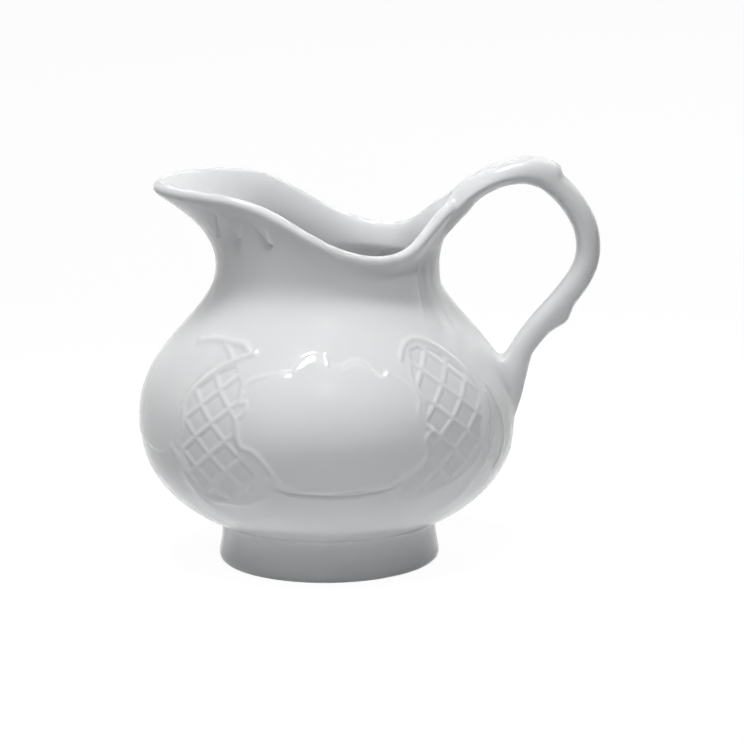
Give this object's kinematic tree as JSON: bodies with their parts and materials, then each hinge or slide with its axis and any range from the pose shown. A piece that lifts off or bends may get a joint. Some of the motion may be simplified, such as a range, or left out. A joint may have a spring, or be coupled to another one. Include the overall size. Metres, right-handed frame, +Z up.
{
  "type": "milk jug",
  "caption": "Round-bellied glazed porcelain milk jug on a low foot ring, with a wide raised pouring spout and a looped strap handle that grows out of the rim.",
  "frame": {"origin": "centre of the foot ring's underside, on the axis of the bowl", "axes": "+Z up the axis of the bowl, +X towards the handle, so the spout points along -X, +Y across the jug"},
  "size_m": [0.1047, 0.0852, 0.0917],
  "materials": {
    "glaze": "clear gloss glaze over white porcelain"
  },
  "bodies": {
    "root": {"jug": "glaze"}
  },
  "joints": []
}
